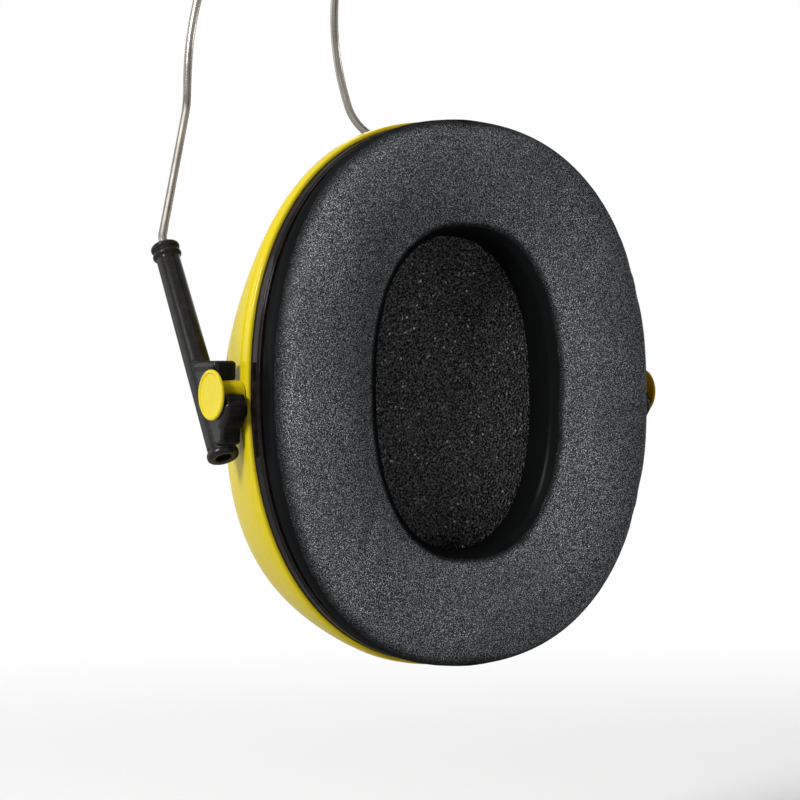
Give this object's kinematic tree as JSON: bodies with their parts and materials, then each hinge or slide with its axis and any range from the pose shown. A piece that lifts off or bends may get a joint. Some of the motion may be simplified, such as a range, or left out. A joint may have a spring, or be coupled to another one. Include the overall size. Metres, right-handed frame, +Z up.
{
  "type": "earmuff hearing protector",
  "caption": "Earmuff hearing protector: two padded oval cups pivoting in sliding clips on a sprung two-wire headband with a padded crown.",
  "frame": {"origin": "midway between the two cups, on the level of their pivot studs and centred front to back between the wires", "axes": "+X from the wearer's right cup side (negative X holds the nodes named left) across to the other cup, -Y is the wearer's front, +Z is up towards the crown"},
  "size_m": [0.2434, 0.1059, 0.1994],
  "materials": {
    "shell_yellow": "gloss moulded ABS",
    "holder_black": "satin moulded acetal",
    "seal_plate": "gloss moulded plastic",
    "seal_skin": "fine-grained PVC foil",
    "pad_skin": "fine-grained PVC foil",
    "cushion_foam": "open-cell polyurethane foam",
    "absorber": "open-cell absorber foam with a speckle",
    "wire_steel": "drawn stainless spring wire"
  },
  "bodies": {
    "headband": {"front_wire": "wire_steel", "rear_wire": "wire_steel", "headband_carrier": "holder_black", "headband_foam": "cushion_foam", "headband_cover": "pad_skin"},
    "left_suspension": {"left_front_holder": "holder_black", "left_rear_holder": "holder_black"},
    "left_cup": {"left_cup_shell": "shell_yellow", "left_front_pivot_stud": "shell_yellow", "left_rear_pivot_stud": "shell_yellow", "left_absorber_foam": "absorber", "left_seal_backplate": "seal_plate", "left_seal_foam": "cushion_foam", "left_seal_cover": "seal_skin"},
    "right_suspension": {"right_front_holder": "holder_black", "right_rear_holder": "holder_black"},
    "right_cup": {"right_cup_shell": "shell_yellow", "right_front_pivot_stud": "shell_yellow", "right_rear_pivot_stud": "shell_yellow", "right_absorber_foam": "absorber", "right_seal_backplate": "seal_plate", "right_seal_foam": "cushion_foam", "right_seal_cover": "seal_skin"}
  },
  "joints": [
    {"name": "left_height_slide", "type": "slide", "parent": "headband", "child": "left_suspension", "axis": [0.4745, -0.1316, -0.8704], "range_m": [0, 0.025]},
    {"name": "right_height_slide", "type": "slide", "parent": "headband", "child": "right_suspension", "axis": [-0.4745, -0.1316, -0.8704], "range_m": [0, 0.025]},
    {"name": "left_cup_pivot", "type": "hinge", "parent": "left_suspension", "child": "left_cup", "pos_m": [-0.06695, -0.00688, 0], "axis": [-0.2672, -0.9636, 0], "range_deg": [-20, 20]},
    {"name": "right_cup_pivot", "type": "hinge", "parent": "right_suspension", "child": "right_cup", "pos_m": [0.06695, -0.00688, 0], "axis": [-0.2672, 0.9636, 0], "range_deg": [-20, 20]}
  ]
}
